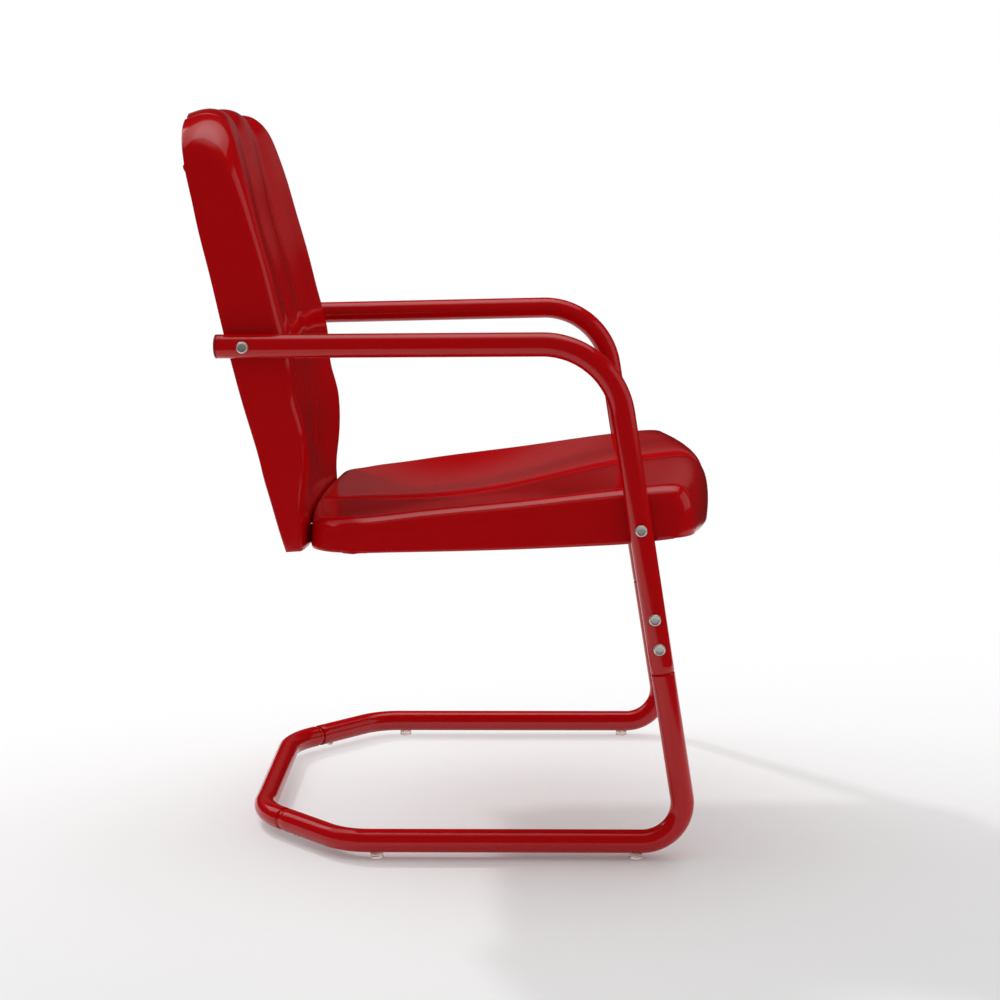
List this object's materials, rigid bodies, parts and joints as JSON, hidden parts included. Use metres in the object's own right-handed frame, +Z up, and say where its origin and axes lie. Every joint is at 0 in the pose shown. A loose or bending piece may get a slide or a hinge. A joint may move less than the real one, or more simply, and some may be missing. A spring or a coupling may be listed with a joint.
{
  "type": "spring lawn chair",
  "caption": "Retro cantilever lawn chair with a pressed steel seat and lobed back on a bent tube spring frame with loop arms.",
  "frame": {"origin": "on the floor, under the middle of the outer box", "axes": "+Z up, -Y the way the sitter faces, +X to the sitter's left"},
  "size_m": [0.5444, 0.6176, 0.8505],
  "materials": {
    "red_enamel": "gloss enamel over steel",
    "zinc_plate": "bright zinc plate",
    "clear_plastic": "clear moulded plastic",
    "red_plastic": "satin moulded plastic"
  },
  "bodies": {
    "base": {"rear_cross_tube": "red_enamel", "base_tube_right": "red_enamel", "glide_front_right": "clear_plastic", "glide_rear_right": "clear_plastic", "base_screw_right": "zinc_plate", "base_tube_left": "red_enamel", "glide_front_left": "clear_plastic", "glide_rear_left": "clear_plastic", "base_screw_left": "zinc_plate"},
    "upper": {"back_shell": "red_enamel", "seat_shell": "red_enamel", "arm_tube_right": "red_enamel", "arm_end_plug_right": "red_plastic", "back_bolt_right": "zinc_plate", "back_nut_right": "zinc_plate", "seat_bolt_right": "zinc_plate", "seat_nut_right": "zinc_plate", "leg_bolt_upper_right": "zinc_plate", "leg_nut_upper_right": "zinc_plate", "leg_bolt_lower_right": "zinc_plate", "leg_nut_lower_right": "zinc_plate", "seat_back_bolt_right": "zinc_plate", "seat_back_nut_right": "zinc_plate", "arm_tube_left": "red_enamel", "arm_end_plug_left": "red_plastic", "back_bolt_left": "zinc_plate", "back_nut_left": "zinc_plate", "seat_bolt_left": "zinc_plate", "seat_nut_left": "zinc_plate", "leg_bolt_upper_left": "zinc_plate", "leg_nut_upper_left": "zinc_plate", "leg_bolt_lower_left": "zinc_plate", "leg_nut_lower_left": "zinc_plate", "seat_back_bolt_left": "zinc_plate", "seat_back_nut_left": "zinc_plate"}
  },
  "joints": [
    {"name": "bounce", "type": "hinge", "parent": "base", "child": "upper", "pos_m": [0, -0.2651, 0.0865], "axis": [-1, 0, 0], "range_deg": [-1.5, 5], "stiffness_Nm_per_rad": 6000, "springref_deg": -0.15, "deforming": ["base_tube_right", "base_tube_left"]}
  ]
}
